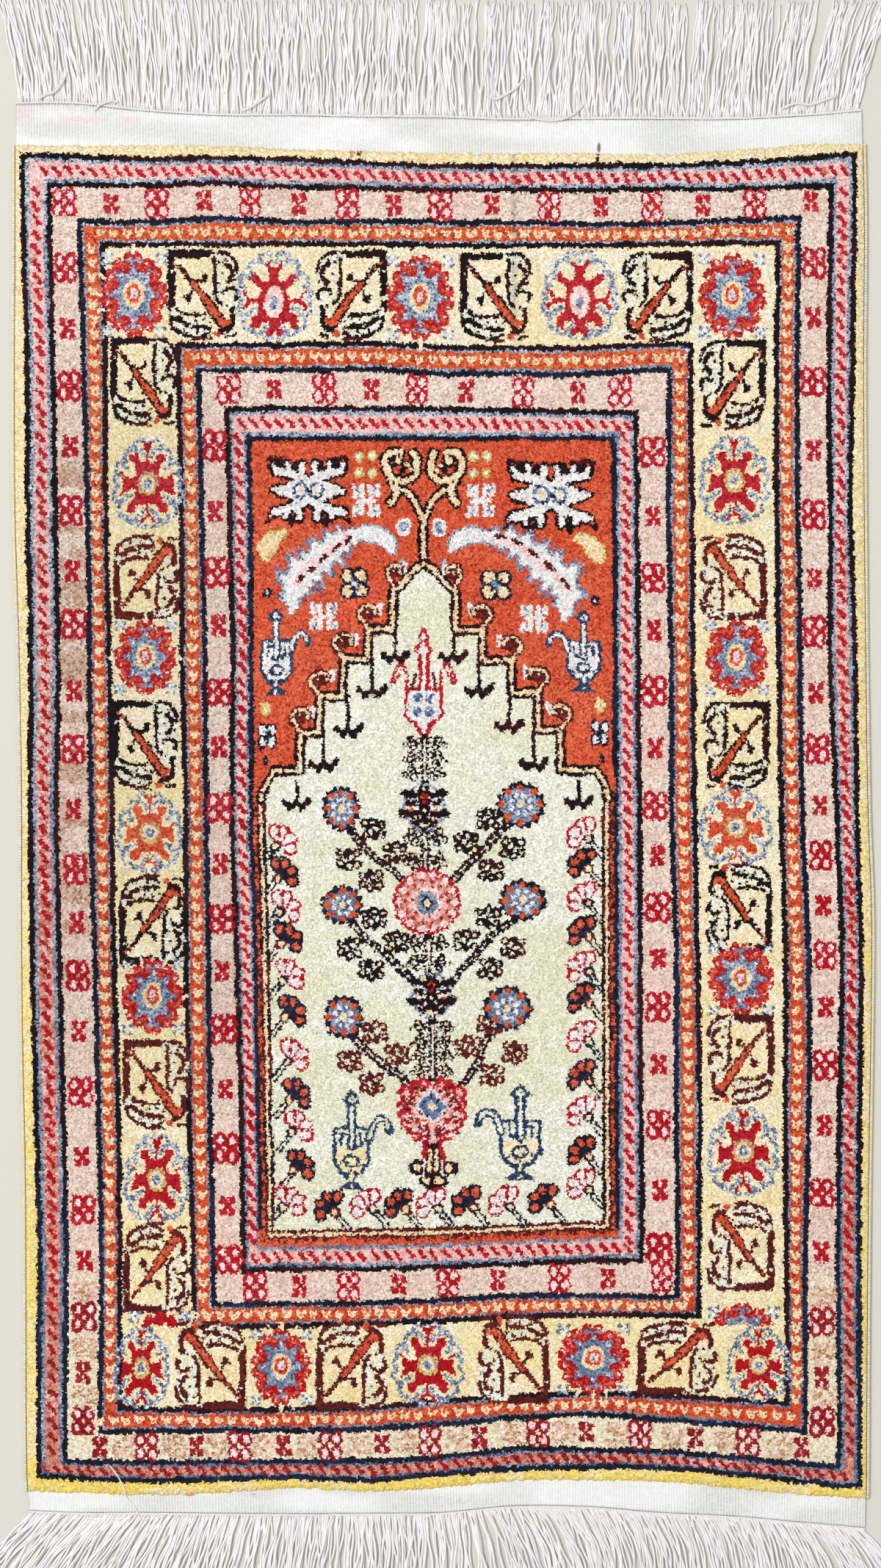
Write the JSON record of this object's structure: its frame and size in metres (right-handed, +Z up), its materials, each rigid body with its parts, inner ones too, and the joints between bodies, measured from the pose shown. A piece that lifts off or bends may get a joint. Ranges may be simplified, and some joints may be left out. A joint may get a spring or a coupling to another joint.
{
  "type": "knotted silk prayer rug",
  "caption": "Small hand-knotted prayer rug lying flat, with an arched field, bordered pile, flat-woven ends, corded sides and a warp fringe at each end.",
  "frame": {"origin": "middle of the rug and its fringes, on the floor", "axes": "+X across the rug to the right, +Y along the rug towards the arch's point, +Z up from the floor"},
  "size_m": [0.6654, 1.1274, 0.0052],
  "materials": {
    "pile": "cut silk pile, patterned, satin",
    "side_cord": "wrapped pale yarn, matte",
    "warp_yarn": "twisted undyed yarn, matte"
  },
  "bodies": {
    "root": {"rug": "pile", "selvedge_left": "side_cord", "selvedge_right": "side_cord", "fringe_top": "warp_yarn", "fringe_bottom": "warp_yarn"}
  },
  "joints": []
}
